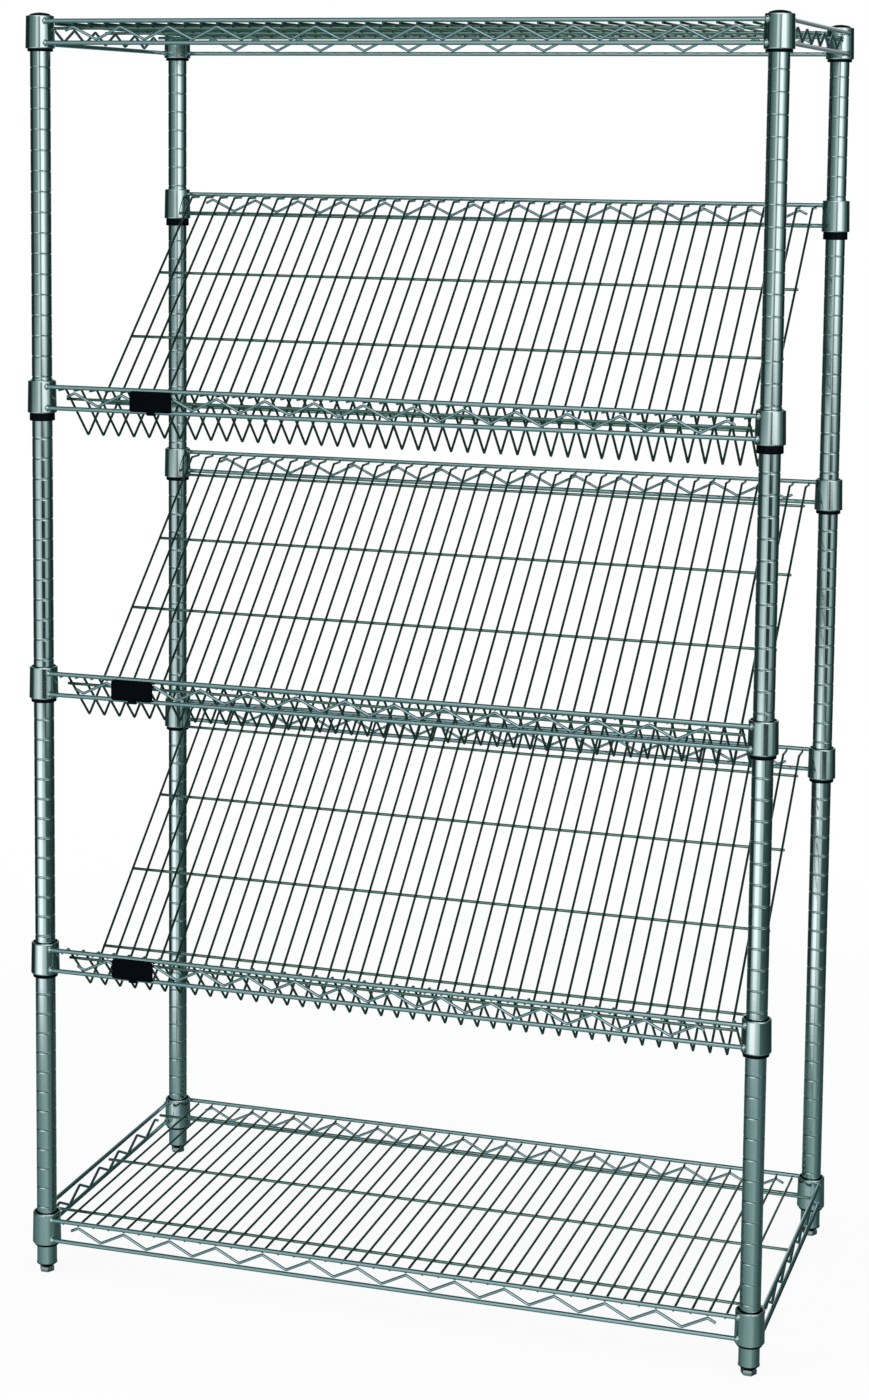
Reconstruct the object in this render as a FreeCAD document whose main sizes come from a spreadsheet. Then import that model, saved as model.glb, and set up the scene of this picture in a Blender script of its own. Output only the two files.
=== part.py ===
import FreeCAD, Part

# Chromed wire bakery rack: four grooved posts carry two flat wire shelves and three
# slanted wire trays on tapered split sleeves. The frame's origin is on the floor, in the
# middle of the footprint. +X runs along the width, +Y to the high rear edge of the trays,
# +Z up. All lengths are millimetres and all angles are degrees.

import math
import os

import Sketcher

Vector = FreeCAD.Vector
Rotation = FreeCAD.Rotation

SIZES = (
    # posts
    ("post_span_x", 914.4, "post centre to post centre along the width"),
    ("post_span_y", 431.8, "post centre to post centre along the depth"),
    ("post_dia", 25.4, "outside of the post tube"),
    ("post_wall", 1.5, "wall of the post tube"),
    ("groove_start", 51.5, "post's lower end to the first groove"),
    ("groove_pitch", 25.4, "from groove to groove"),
    ("groove_count", 59, "evenly spaced grooves"),
    ("groove_width", 1.6, "height of a groove"),
    ("groove_depth", 0.6, "depth of a groove"),
    ("top_groove_rise", 47.0, "last even groove to the top shelf's groove"),
    ("post_top_margin", 14.3, "top shelf's groove to the post's upper end"),
    # post caps
    ("cap_lip", 0.5, "cap's rim past the post's outside"),
    ("cap_rim", 1.6, "height of the rim"),
    ("cap_dome", 4.0, "height of the dome above the rim"),
    ("cap_edge", 2.2, "radius of the dome's edge"),
    ("cap_plug_length", 14.0, "plug inside the tube"),
    ("plug_clearance", 0.05, "plug to the bore of the tube"),
    # foot inserts and levelling feet
    ("insert_length", 26.0, "insert inside the tube"),
    ("insert_lip", 0.4, "flange under the tube's end past the post's outside"),
    ("insert_flange", 1.2, "thickness of the flange"),
    ("insert_boss_wall", 1.65, "wall of the boss under the flange"),
    ("insert_boss", 3.7, "height of the boss"),
    ("foot_gap", 0.3, "boss to the foot's hexagon"),
    ("foot_flats", 17.0, "hexagon across its flats"),
    ("foot_height", 6.8, "height of the hexagon"),
    ("foot_chamfer", 0.9, "chamfer of the hexagon's edges"),
    ("stem_dia", 9.5, "threaded stem of the foot"),
    ("stem_length", 30.0, "stem above the hexagon"),
    ("stem_clearance", 0.1, "stem to the insert's bore"),
    # shelf collars and split sleeves
    ("sleeve_wall", 2.95, "wall of the sleeve at the collar's lower end"),
    ("collar_taper", 1.15, "half angle of the bore"),
    ("collar_wall", 2.2, "wall of the collar"),
    ("collar_height", 40.0, "height of the collar"),
    ("collar_edge", 0.7, "rounded edge of the collar's outside"),
    ("sleeve_height", 42.0, "height of the split sleeve"),
    ("sleeve_clearance", 0.3, "collar's bore to the sleeve"),
    ("sleeve_fit", 0.05, "sleeve's inside to the post"),
    ("sleeve_split", 0.4, "gap between the two halves of a sleeve"),
    ("sleeve_rib_height", 27.6, "sleeve's lower end to the middle of its rib"),
    ("sleeve_rib_play", 0.15, "rib to each side of its groove"),
    ("collar_seat", 3.5, "sleeve's lower end to the collar's"),
    ("upper_tray_seat", 8.5, "the same on the upper tray, which sits higher"),
    ("tray_sleeve_skirt", 1.5, "how much further down a tray's sleeve reaches"),
    # which groove, counted from the floor, holds each tray's front sleeves
    ("lower_tray_groove", 15, "front groove of the lower tray"),
    ("middle_tray_groove", 29, "front groove of the middle tray"),
    ("upper_tray_groove", 43, "front groove of the upper tray"),
    ("tray_rise_grooves", 9, "grooves from a tray's front to its rear"),
    # rails and trusses
    ("rail_dia", 5.5, "top and low rail wires"),
    ("rail_inset", 5.7, "outside of the collar's lower end in to the rails' line"),
    ("top_rail_drop", 6.7, "collar's top down to the top rail"),
    ("low_rail_rise", 6.8, "collar's lower end up to the low rail"),
    ("rail_weld_dia", 7.6, "weld bead at a rail's end"),
    ("rail_bite", 0.02, "depth that a rail's end sinks into its collar"),
    ("weld_bite", 0.08, "depth that welded wires sink into each other"),
    ("truss_dia", 3.6, "zigzag wire between the rails"),
    ("truss_inset", 2.2, "rails' line in to the zigzag's line"),
    ("truss_bend", 5.0, "bend radius of the zigzag's middle line"),
    ("truss_step_wires", 3, "deck wires from one upper bend to the next"),
    ("truss_end_run", 10.0, "free end past the last bend, along the rail"),
    ("side_truss_bends", 6, "upper bends of a side truss"),
    ("side_truss_inset", 58.8, "post centre line in to a side truss's first upper bend"),
    # decks and trays
    ("deck_dia", 3.1, "deck and tray wires"),
    ("deck_count", 42, "deck wires in a shelf"),
    ("deck_side_inset", 27.725, "post centre line in to the first deck wire"),
    ("deck_inset", 1.6, "rails' line in to a deck wire's end"),
    ("cross_dia", 3.8, "cross wires under a deck"),
    ("cross_inset", 40.9, "post centre line in to the outer cross wires"),
    ("cross_reach", 1.7, "end of a flat shelf's cross wire to the side rail's line"),
    ("tray_hook_front", 22.0, "level run behind the front top rail"),
    ("tray_fold_back", 88.0, "front rail's line back to the tray's lowest fold"),
    ("tray_fold_drop", 68.5, "front top rail down to the tray's lowest fold"),
    ("tray_hook_rear", 27.0, "level run in front of the rear top rail"),
    ("tray_bend", 2.4, "bend radius of a tray wire's middle line"),
    ("tray_cross_past", 1.5, "cross wire's end past the outer tray wires"),
    ("leg_cross", 16.2, "front bend down the leg to its cross wire"),
    ("slope_cross_first", 59.5, "fold up the slope to its first cross wire"),
    ("slope_cross_step", 122.0, "from there to the next two"),
    ("slope_cross_last", 30.0, "rear bend down the slope to the last one"),
    # label holders on the trays
    ("label_width", 55.0, "label holder's width"),
    ("label_height", 25.0, "label holder's height"),
    ("label_thick", 2.0, "label holder's thickness"),
    ("label_corner", 3.0, "label holder's corner radius"),
    ("label_clearance", 0.1, "label holder to the rails"),
    ("label_clip_width", 10.0, "length of the clip under the low rail"),
    ("label_clip_wall", 1.0, "wall of the clip"),
    ("label_from_end", 127.0, "post centre line to the label's middle"),
    ("upper_label_from_end", 152.5, "the same on the upper tray"),
)

doc = FreeCAD.newDocument("BakeryRack")
sheet = doc.addObject("Spreadsheet::Sheet", "Sizes")
for row, (alias, value, note) in enumerate(SIZES, start=1):
    sheet.set(f"A{row}", note)
    sheet.set(f"B{row}", str(value))
    sheet.setAlias(f"B{row}", alias)
doc.recompute()

# the rails' line past the posts' centre line, and the first deck wire to the last
RAIL_OFFSET = (
    "(Sizes.post_dia / 2 + Sizes.sleeve_fit + Sizes.sleeve_wall"
    " + Sizes.sleeve_clearance + Sizes.collar_wall - Sizes.rail_inset)"
)
DECK_WIDTH = "(Sizes.post_span_x - 2 * Sizes.deck_side_inset)"

subparts = []


def size(alias):
    """The value of a cell of the sheet."""
    return float(sheet.get(alias))


# ---------------------------------------------------------------- values worked out


def post_bottom():
    """Height of the posts' lower ends above the floor."""
    parts = ("foot_height", "foot_gap", "insert_boss", "insert_flange")
    return sum(size(alias) for alias in parts)


def groove_height(number):
    """Height of an even groove, counted from the floor."""
    return post_bottom() + size("groove_start") + (number - 1) * size("groove_pitch")


def top_groove_height():
    return groove_height(size("groove_count")) + size("top_groove_rise")


def post_top():
    return top_groove_height() + size("post_top_margin")


def sleeve_bottom(groove):
    """Lower end of a flat shelf's sleeves whose ribs sit at this height."""
    return groove - size("sleeve_rib_height")


def taper_tan():
    return math.tan(math.radians(size("collar_taper")))


def tray_rise():
    """How much higher a tray's rear collars are than its front ones."""
    return size("tray_rise_grooves") * size("groove_pitch")


def collar_bore():
    """Radius of a collar's bore at its lower end, clear of the sleeve in it."""
    sleeve = size("post_dia") / 2 + size("sleeve_fit") + size("sleeve_wall")
    return sleeve + size("sleeve_clearance")


def rail_offset():
    """Post centre line out to the line of the rails."""
    return collar_bore() + size("collar_wall") - size("rail_inset")


def top_rail_height():
    """Middle of a top rail above its collars' lower ends."""
    return size("collar_height") - size("top_rail_drop")


def deck_level():
    """Middle of a deck wire above the collars' lower ends: its end is welded under the rail."""
    rail_skin = math.sqrt((size("rail_dia") / 2) ** 2 - size("deck_inset") ** 2)
    return top_rail_height() - rail_skin - size("deck_dia") / 2 + size("weld_bite")


def truss_high():
    """Middle of the zigzag's upper bends, welded under the deck wires."""
    return deck_level() - (size("deck_dia") + size("truss_dia")) / 2 + size("weld_bite")


def truss_low():
    """Middle of the zigzag's lower bends, welded on the low rail."""
    touching = (size("rail_dia") + size("truss_dia")) / 2
    above = math.sqrt(touching**2 - size("truss_inset") ** 2)
    return size("low_rail_rise") + above - size("weld_bite")


def front_line():
    """Distance of the front and rear rails' lines from the middle of the rack."""
    return size("post_span_y") / 2 + rail_offset()


def side_line():
    return size("post_span_x") / 2 + rail_offset()


def deck_place(index):
    """Place along X of a deck wire, counted from 0 at the left."""
    first = size("deck_side_inset") - size("post_span_x") / 2
    return first - 2 * first * index / (size("deck_count") - 1)


# ---------------------------------------------------------------- document helpers


def new_body(label):
    """A PartDesign body that holds one sub-part, or one repeated piece of it."""
    body = doc.addObject("PartDesign::Body", label)
    body.Label = label
    return body


def keep(item):
    """Lists a finished object as a sub-part: its label names the file."""
    subparts.append(item)
    return item


def origin(body, role):
    """A plane or axis of the body's own origin."""
    return next(item for item in body.Origin.OriginFeatures if item.Role == role)


def new_sketch(body, name, plane):
    sketch = body.newObject("Sketcher::SketchObject", name)
    sketch.AttachmentSupport = (origin(body, plane), [""])
    sketch.MapMode = "FlatFace"
    return sketch


def bind(sketch, constraint, name, expression):
    """Adds a constraint to a sketch and ties it to the sheet."""
    index = sketch.addConstraint(constraint)
    sketch.renameConstraint(index, name)
    sketch.setExpression(f"Constraints.{name}", expression)


def add_circle(sketch, name, x, y, dia):
    """A circle whose diameter is tied to the sheet, at a place worked out from it."""
    radius = size(dia) / 2
    index = sketch.addGeometry(Part.Circle(Vector(x, y), Vector(0, 0, 1), radius), False)
    sketch.addConstraint(Sketcher.Constraint("DistanceX", -1, 1, index, 3, x))
    sketch.addConstraint(Sketcher.Constraint("DistanceY", -1, 1, index, 3, y))
    bind(sketch, Sketcher.Constraint("Diameter", index, 2 * radius), name, f"Sizes.{dia}")


def add_outline(sketch, points):
    """A closed outline of straight lines through the points."""
    ends = points[1:] + points[:1]
    lines = [Part.LineSegment(start, end) for start, end in zip(points, ends)]
    numbers = sketch.addGeometry(lines, False)
    after = numbers[1:] + numbers[:1]
    joined = [Sketcher.Constraint("Coincident", a, 2, b, 1) for a, b in zip(numbers, after)]
    sketch.addConstraint(joined)


def tie_corner(sketch, corner, name, expression_x, expression_y):
    """Ties the place of an outline's corner, the start of line `corner`, to the sheet."""
    point = sketch.getPoint(corner, 1)
    level = Sketcher.Constraint("DistanceX", -1, 1, corner, 1, point.x)
    bind(sketch, level, f"{name}_across", expression_x)
    upright = Sketcher.Constraint("DistanceY", -1, 1, corner, 1, point.y)
    bind(sketch, upright, f"{name}_up", expression_y)


def rounded_run(points, radius):
    """Straight runs through the points, joined by tangent arcs."""
    pieces = []
    start = points[0]
    for before, corner, after in zip(points, points[1:], points[2:]):
        back = (before - corner).normalize()
        ahead = (after - corner).normalize()
        half = back.getAngle(ahead) / 2
        cut = radius / math.tan(half)
        middle = (back + ahead).normalize() * (radius / math.sin(half) - radius)
        pieces.append(Part.LineSegment(start, corner + back * cut))
        arc_end = corner + ahead * cut
        pieces.append(Part.Arc(corner + back * cut, corner + middle, arc_end))
        start = arc_end
    pieces.append(Part.LineSegment(start, points[-1]))
    return pieces


def bent_wire(body, plane, points, dia, bend):
    """A round wire swept along straight runs and bends that lie in a plane of the body."""
    path = new_sketch(body, "Path", plane)
    path.addGeometry(rounded_run(points, size(bend)), False)
    edges = [f"Edge{index + 1}" for index in range(path.GeometryCount)]
    doc.recompute()
    start = path.Placement.multVec(points[0])
    direction = path.Placement.multVec(points[1]) - start
    section = body.newObject("Sketcher::SketchObject", "Section")
    section.Placement = FreeCAD.Placement(start, Rotation(Vector(0, 0, 1), direction))
    add_circle(section, "wire", 0, 0, dia)
    doc.recompute()
    pipe = body.newObject("PartDesign::AdditivePipe", "Pipe")
    pipe.Profile = section
    pipe.Spine = (path, edges)
    doc.recompute()
    return pipe


def row_pattern(body, feature, role, length, count):
    """Repeats a feature along an axis of the body; length and count are expressions."""
    row = body.newObject("PartDesign::LinearPattern", "Row")
    row.Originals = [feature]
    row.Direction = (origin(body, role), [""])
    row.setExpression("Length", length)
    row.setExpression("Occurrences", count)
    body.Tip = row
    return row


def corner_pattern(body, feature, rise, halves=False):
    """Repeats a feature at the four posts, with the rear pair higher by `rise`."""
    slant = new_sketch(body, "RearwardLine", "YZ_Plane")
    slant.addGeometry(Part.LineSegment(Vector(0, 0), Vector(size("post_span_y"), rise)), False)
    doc.recompute()
    corners = body.newObject("PartDesign::MultiTransform", "Corners")
    corners.Originals = [feature]
    steps = []
    if halves:
        turn = body.newObject("PartDesign::PolarPattern", "Halves")
        turn.Axis = (origin(body, "Z_Axis"), [""])
        turn.Angle = 360
        turn.Occurrences = 2
        steps.append(turn)
    along = body.newObject("PartDesign::LinearPattern", "AlongX")
    along.Direction = (origin(body, "X_Axis"), [""])
    along.setExpression("Length", "Sizes.post_span_x")
    along.Occurrences = 2
    rearward = body.newObject("PartDesign::LinearPattern", "Rearward")
    rearward.Direction = (slant, ["Edge1"])
    rearward.Length = math.hypot(size("post_span_y"), rise)
    rearward.Occurrences = 2
    steps += [along, rearward]
    corners.Transformations = steps
    body.Tip = corners


def place_at_front_left(body, height):
    """Puts a body's origin on the front left post's axis."""
    body.setExpression("Placement.Base.x", "-Sizes.post_span_x / 2")
    body.setExpression("Placement.Base.y", "-Sizes.post_span_y / 2")
    body.Placement.Base.z = height


def lathe(body, points, angle=360):
    """A turned piece: the outline's X is the radius and its Y is the height."""
    profile = new_sketch(body, "Profile", "XZ_Plane")
    add_outline(profile, points)
    turned = body.newObject("PartDesign::Revolution", "Turned")
    turned.Profile = profile
    turned.ReferenceAxis = (profile, ["V_Axis"])
    turned.Angle = angle
    turned.Midplane = angle < 360
    return profile, turned


# ---------------------------------------------------------------- posts, caps and feet


def make_post(label, side_x, side_y):
    """A post tube with a ring groove every inch and one more for the top shelf."""
    body = new_body(label)
    outer = size("post_dia") / 2
    inner = outer - size("post_wall")
    bottom = outer - size("groove_depth")
    half = size("groove_width") / 2
    length = post_top() - post_bottom()
    grooves = [groove_height(number + 1) for number in range(int(size("groove_count")))]
    outline = [Vector(inner, 0), Vector(outer, 0)]
    for height in grooves + [top_groove_height()]:
        middle = height - post_bottom()
        outline.append(Vector(outer, middle - half))
        outline.append(Vector(bottom, middle))
        outline.append(Vector(outer, middle + half))
    outline += [Vector(outer, length), Vector(inner, length)]
    profile = lathe(body, outline)[0]
    tie_corner(profile, 0, "inner", "Sizes.post_dia / 2 - Sizes.post_wall", "0 mm")
    tie_corner(profile, 1, "outer", "Sizes.post_dia / 2", "0 mm")
    body.setExpression("Placement.Base.x", f"{side_x} * Sizes.post_span_x / 2")
    body.setExpression("Placement.Base.y", f"{side_y} * Sizes.post_span_y / 2")
    body.Placement.Base.z = post_bottom()
    return keep(body)


def dome_arcs(rim, level, height, edge):
    """A rounded edge and a flatter crown, tangent to each other, from the rim to the axis."""
    centre = rim - edge
    crown = (centre**2 + height**2 - edge**2) / (2 * (height - edge))
    lean = math.atan2(crown - height, centre)
    joint = Vector(centre + edge * math.cos(lean), level + edge * math.sin(lean))
    halfway = Vector(centre + edge * math.cos(lean / 2), level + edge * math.sin(lean / 2))
    upward = (lean + math.pi / 2) / 2
    over = Vector(crown * math.cos(upward), level + height - crown + crown * math.sin(upward))
    return (
        Part.Arc(Vector(rim, level), halfway, joint),
        Part.Arc(joint, over, Vector(0, level + height)),
    )


def make_post_caps():
    """Domed caps with plugs that press into the posts' upper ends."""
    body = new_body("post_caps")
    rim = size("post_dia") / 2 + size("cap_lip")
    plug = size("post_dia") / 2 - size("post_wall") - size("plug_clearance")
    edge = size("cap_rim")
    crown = edge + size("cap_dome")
    profile = new_sketch(body, "Profile", "XZ_Plane")
    corners = [
        Vector(0, crown),
        Vector(0, -size("cap_plug_length")),
        Vector(plug, -size("cap_plug_length")),
        Vector(plug, 0),
        Vector(rim, 0),
        Vector(rim, edge),
    ]
    for start, end in zip(corners, corners[1:]):
        profile.addGeometry(Part.LineSegment(start, end), False)
    for arc in dome_arcs(rim, edge, size("cap_dome"), size("cap_edge")):
        profile.addGeometry(arc, False)
    turned = body.newObject("PartDesign::Revolution", "Turned")
    turned.Profile = profile
    turned.ReferenceAxis = (profile, ["V_Axis"])
    turned.Angle = 360
    doc.recompute()
    corner_pattern(body, turned, 0)
    place_at_front_left(body, post_top())
    return keep(body)


def make_foot_inserts():
    """Plugs in the posts' lower ends, bored for the feet's stems."""
    body = new_body("foot_inserts")
    bore = size("stem_dia") / 2 + size("stem_clearance")
    plug = size("post_dia") / 2 - size("post_wall") - size("plug_clearance")
    flange = size("post_dia") / 2 + size("insert_lip")
    boss = bore + size("insert_boss_wall")
    under = -size("insert_flange")
    lowest = under - size("insert_boss")
    outline = [
        Vector(bore, lowest),
        Vector(boss, lowest),
        Vector(boss, under),
        Vector(flange, under),
        Vector(flange, 0),
        Vector(plug, 0),
        Vector(plug, size("insert_length")),
        Vector(bore, size("insert_length")),
    ]
    turned = lathe(body, outline)[1]
    doc.recompute()
    corner_pattern(body, turned, 0)
    place_at_front_left(body, post_bottom())
    return keep(body)


def make_foot(label, side_x, side_y):
    """A levelling foot: a hexagon with a stem that screws up into the insert."""
    body = new_body(label)
    hexagon = body.newObject("PartDesign::AdditivePrism", "Hexagon")
    hexagon.Polygon = 6
    hexagon.setExpression("Circumradius", "Sizes.foot_flats / 2 / cos(30)")
    hexagon.setExpression("Height", "Sizes.foot_height")
    doc.recompute()
    rims = []
    for index, edge in enumerate(body.Shape.Edges, start=1):
        if abs(edge.BoundBox.ZLength) < 1e-6:
            rims.append(f"Edge{index}")
    chamfer = body.newObject("PartDesign::Chamfer", "EdgeChamfer")
    chamfer.Base = (hexagon, rims)
    chamfer.setExpression("Size", "Sizes.foot_chamfer")
    doc.recompute()
    stem = body.newObject("PartDesign::AdditiveCylinder", "Stem")
    stem.setExpression("Radius", "Sizes.stem_dia / 2")
    stem.setExpression("Height", "Sizes.foot_height + Sizes.stem_length")
    body.setExpression("Placement.Base.x", f"{side_x} * Sizes.post_span_x / 2")
    body.setExpression("Placement.Base.y", f"{side_y} * Sizes.post_span_y / 2")
    return keep(body)


# ---------------------------------------------------------------- collars and sleeves


def make_sleeves(label, groove, rise, skirt):
    """Tapered sleeves in two halves each, with a rib that sits in the post's groove.

    The skirt is how much further down they reach than the sleeves of a flat shelf.
    """
    body = new_body(label)
    inner = size("post_dia") / 2 + size("sleeve_fit")
    foot_radius = inner + size("sleeve_wall") + (size("collar_seat") + skirt) * taper_tan()
    height = size("sleeve_height") + skirt
    top_radius = foot_radius - height * taper_tan()
    rib_middle = size("sleeve_rib_height") + skirt
    play = size("sleeve_rib_play")
    rib_tip = size("post_dia") / 2 - size("groove_depth") + play
    rib_half = size("groove_width") / 2 - play
    outline = [
        Vector(inner, 0),
        Vector(foot_radius, 0),
        Vector(top_radius, height),
        Vector(inner, height),
        Vector(inner, rib_middle + rib_half),
        Vector(rib_tip, rib_middle),
        Vector(inner, rib_middle - rib_half),
    ]
    split_angle = 2 * math.degrees(math.asin(size("sleeve_split") / 2 / inner))
    turned = lathe(body, outline, 180 - split_angle)[1]
    doc.recompute()
    corner_pattern(body, turned, rise, halves=True)
    place_at_front_left(body, sleeve_bottom(groove) - skirt)
    return keep(body)


def make_collars(label, height, rise):
    """The four tapered tubes at a shelf's corners."""
    body = new_body(label)
    bore = collar_bore()
    tall = size("collar_height")
    edge = size("collar_edge")
    outer = bore + size("collar_wall")
    lean = taper_tan()
    outline = [
        Vector(bore, 0),
        Vector(outer - edge, 0),
        Vector(outer - edge * lean, edge),
        Vector(outer - (tall - edge) * lean, tall - edge),
        Vector(outer - tall * lean - edge, tall),
        Vector(bore - tall * lean, tall),
    ]
    profile, turned = lathe(body, outline)
    tie_corner(profile, 0, "bore", f"{RAIL_OFFSET} + Sizes.rail_inset - Sizes.collar_wall", "0 mm")
    doc.recompute()
    corner_pattern(body, turned, rise)
    place_at_front_left(body, height)
    return keep(body)


# ---------------------------------------------------------------- rails


def make_rail_pair(label, span):
    """A top and a low rail between two posts, their ends shaped to the collars.

    The body's origin is midway between the two posts' axes, level with the collars' lower
    ends. The rails run along X, in front of that line.
    """
    body = new_body(label)
    half_span = size(span) / 2
    section = new_sketch(body, "Sections", "YZ_Plane")
    levels = (top_rail_height(), size("low_rail_rise"))
    for name, level in zip(("top", "low"), levels):
        add_circle(section, name, -rail_offset(), level, "rail_dia")
    wires = body.newObject("PartDesign::Pad", "Wires")
    wires.Profile = section
    wires.setExpression("Length", f"Sizes.{span}")
    wires.Midplane = True
    doc.recompute()
    lean = taper_tan()
    bottom_radius = collar_bore() + size("collar_wall") - size("rail_bite")
    beads = []
    for name, level in zip(("TopBead", "LowBead"), levels):
        skin = bottom_radius - level * lean
        inward = math.sqrt(skin**2 - rail_offset() ** 2)
        bead = body.newObject("PartDesign::AdditiveSphere", name)
        bead.setExpression("Radius", "Sizes.rail_weld_dia / 2")
        bead.AttachmentOffset.Base = Vector(inward - half_span, -rail_offset(), level)
        bead.AttachmentSupport = (origin(body, "XY_Plane"), [""])
        bead.MapMode = "FlatFace"
        doc.recompute()
        beads.append(bead)
    other_beads = body.newObject("PartDesign::Mirrored", "OtherBeads")
    other_beads.Originals = beads
    other_beads.MirrorPlane = (origin(body, "YZ_Plane"), [""])
    body.Tip = other_beads
    doc.recompute()
    cope = new_sketch(body, "CollarOutline", "XZ_Plane")
    axis = -half_span
    past = size("collar_height")
    add_outline(
        cope,
        [
            Vector(axis, -past),
            Vector(axis + bottom_radius + past * lean, -past),
            Vector(axis + bottom_radius - 2 * past * lean, 2 * past),
            Vector(axis, 2 * past),
        ],
    )
    centre = Part.LineSegment(Vector(axis, -past), Vector(axis, 2 * past))
    cope.addGeometry(centre, True)
    end_cut = body.newObject("PartDesign::Groove", "EndCut")
    end_cut.Profile = cope
    end_cut.ReferenceAxis = (cope, ["Axis0"])
    end_cut.Angle = 360
    doc.recompute()
    other_end = body.newObject("PartDesign::Mirrored", "OtherEndCut")
    other_end.Originals = [end_cut]
    other_end.MirrorPlane = (origin(body, "YZ_Plane"), [""])
    body.Tip = other_end
    doc.recompute()
    return body


def turn_to(body, angle, x, y, height):
    """Turns a body about the vertical and puts its origin at a place."""
    body.Placement = FreeCAD.Placement(Vector(x, y, height), Rotation(Vector(0, 0, 1), angle))


def make_long_rails(shelf, height, rise):
    """The front rails and the rear rails of a shelf."""
    half_depth = size("post_span_y") / 2
    front = make_rail_pair(f"{shelf}_front_rails", "post_span_x")
    turn_to(front, 0, 0, -half_depth, height)
    rear = make_rail_pair(f"{shelf}_rear_rails", "post_span_x")
    turn_to(rear, 180, 0, half_depth, height + rise)
    keep(front)
    keep(rear)


def make_side_rails(shelf, height):
    """The rails at a flat shelf's two ends, as one sub-part of four wires."""
    half_width = size("post_span_x") / 2
    left = make_rail_pair(f"{shelf}_left_side_rails", "post_span_y")
    turn_to(left, -90, -half_width, 0, height)
    right = make_rail_pair(f"{shelf}_right_side_rails", "post_span_y")
    turn_to(right, 90, half_width, 0, height)
    both = doc.addObject("Part::Compound", f"{shelf}_side_rails")
    both.Label = f"{shelf}_side_rails"
    both.Links = [left, right]
    return keep(both)


# ---------------------------------------------------------------- zigzag trusses


def zigzag(uppers, low_at_start=False):
    """Corner points of a zigzag wire whose upper bends are at these places along it.

    It starts and ends with short free runs. With low_at_start, one more lower bend comes
    before the first upper one.
    """
    high, low = truss_high(), truss_low()
    half_step = (uppers[1] - uppers[0]) / 2
    slope = (high - low) / half_step
    free = size("truss_end_run")
    points = []
    if low_at_start:
        first = uppers[0] - half_step
        points += [Vector(first - free, low + slope * free), Vector(first, low)]
    else:
        points.append(Vector(uppers[0] - free, high - slope * free))
    for place in uppers[:-1]:
        points += [Vector(place, high), Vector(place + half_step, low)]
    points.append(Vector(uppers[-1], high))
    points.append(Vector(uppers[-1] + free, high - slope * free))
    return points


def deck_uppers(first):
    """Upper bends under every third deck wire, the same distance in from both ends."""
    step = int(size("truss_step_wires"))
    last = int(size("deck_count")) - 1
    return [deck_place(index) for index in range(first, last + 1, step)]


def make_long_trusses(shelf, height, rise, first_upper, low_at_start):
    """The front and rear zigzag wires; the rear one is the front one turned round."""
    points = zigzag(deck_uppers(first_upper), low_at_start)
    line = front_line() - size("truss_inset")
    front = new_body(f"{shelf}_front_truss")
    bent_wire(front, "XZ_Plane", points, "truss_dia", "truss_bend")
    turn_to(front, 0, 0, -line, height)
    rear = new_body(f"{shelf}_rear_truss")
    bent_wire(rear, "XZ_Plane", points, "truss_dia", "truss_bend")
    turn_to(rear, 180, 0, line, height + rise)
    keep(front)
    keep(rear)


def make_side_trusses(shelf, height):
    """The zigzag wires at a flat shelf's two ends."""
    count = int(size("side_truss_bends"))
    first = size("side_truss_inset") - size("post_span_y") / 2
    uppers = [first - 2 * first * index / (count - 1) for index in range(count)]
    body = new_body(f"{shelf}_side_trusses")
    pipe = bent_wire(body, "XZ_Plane", zigzag(uppers), "truss_dia", "truss_bend")
    apart = f"Sizes.post_span_x + 2 * ({RAIL_OFFSET} - Sizes.truss_inset)"
    row_pattern(body, pipe, "Y_Axis", apart, "2")
    turn_to(body, -90, size("truss_inset") - side_line(), 0, height)
    return keep(body)


# ---------------------------------------------------------------- flat decks


def make_deck_wires(shelf, height):
    """Straight wires from the front top rail to the rear one, welded under both."""
    body = new_body(f"{shelf}_deck_wires")
    section = new_sketch(body, "Section", "XZ_Plane")
    add_circle(section, "wire", 0, 0, "deck_dia")
    wire = body.newObject("PartDesign::Pad", "Wire")
    wire.Profile = section
    length = f"Sizes.post_span_y + 2 * ({RAIL_OFFSET} - Sizes.deck_inset)"
    wire.setExpression("Length", length)
    wire.Midplane = True
    doc.recompute()
    row_pattern(body, wire, "X_Axis", DECK_WIDTH, "Sizes.deck_count")
    body.setExpression("Placement.Base.x", f"-{DECK_WIDTH} / 2")
    body.Placement.Base.z = height + deck_level()
    return keep(body)


def make_flat_cross_wires(shelf, height):
    """Three wires along the shelf, welded under the deck wires."""
    body = new_body(f"{shelf}_cross_wires")
    section = new_sketch(body, "Section", "YZ_Plane")
    outer = size("post_span_y") / 2 - size("cross_inset")
    add_circle(section, "wire", -outer, 0, "cross_dia")
    wire = body.newObject("PartDesign::Pad", "Wire")
    wire.Profile = section
    length = f"Sizes.post_span_x + 2 * ({RAIL_OFFSET} - Sizes.cross_reach)"
    wire.setExpression("Length", length)
    wire.Midplane = True
    doc.recompute()
    row_pattern(body, wire, "Y_Axis", "Sizes.post_span_y - 2 * Sizes.cross_inset", "3")
    under = (size("deck_dia") + size("cross_dia")) / 2 - size("weld_bite")
    body.Placement.Base.z = height + deck_level() - under
    return keep(body)


# ---------------------------------------------------------------- slanted trays


def tray_corners(rise):
    """Corner points of a tray wire, as Y and height above the front collars' lower ends."""
    front = size("deck_inset") - front_line()
    hook_level = deck_level()
    fold = Vector(size("tray_fold_back") - front_line(), top_rail_height() - size("tray_fold_drop"))
    return [
        Vector(front, hook_level),
        Vector(size("tray_hook_front") - front_line(), hook_level),
        fold,
        Vector(front_line() - size("tray_hook_rear"), hook_level + rise),
        Vector(-front, hook_level + rise),
    ]


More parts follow.
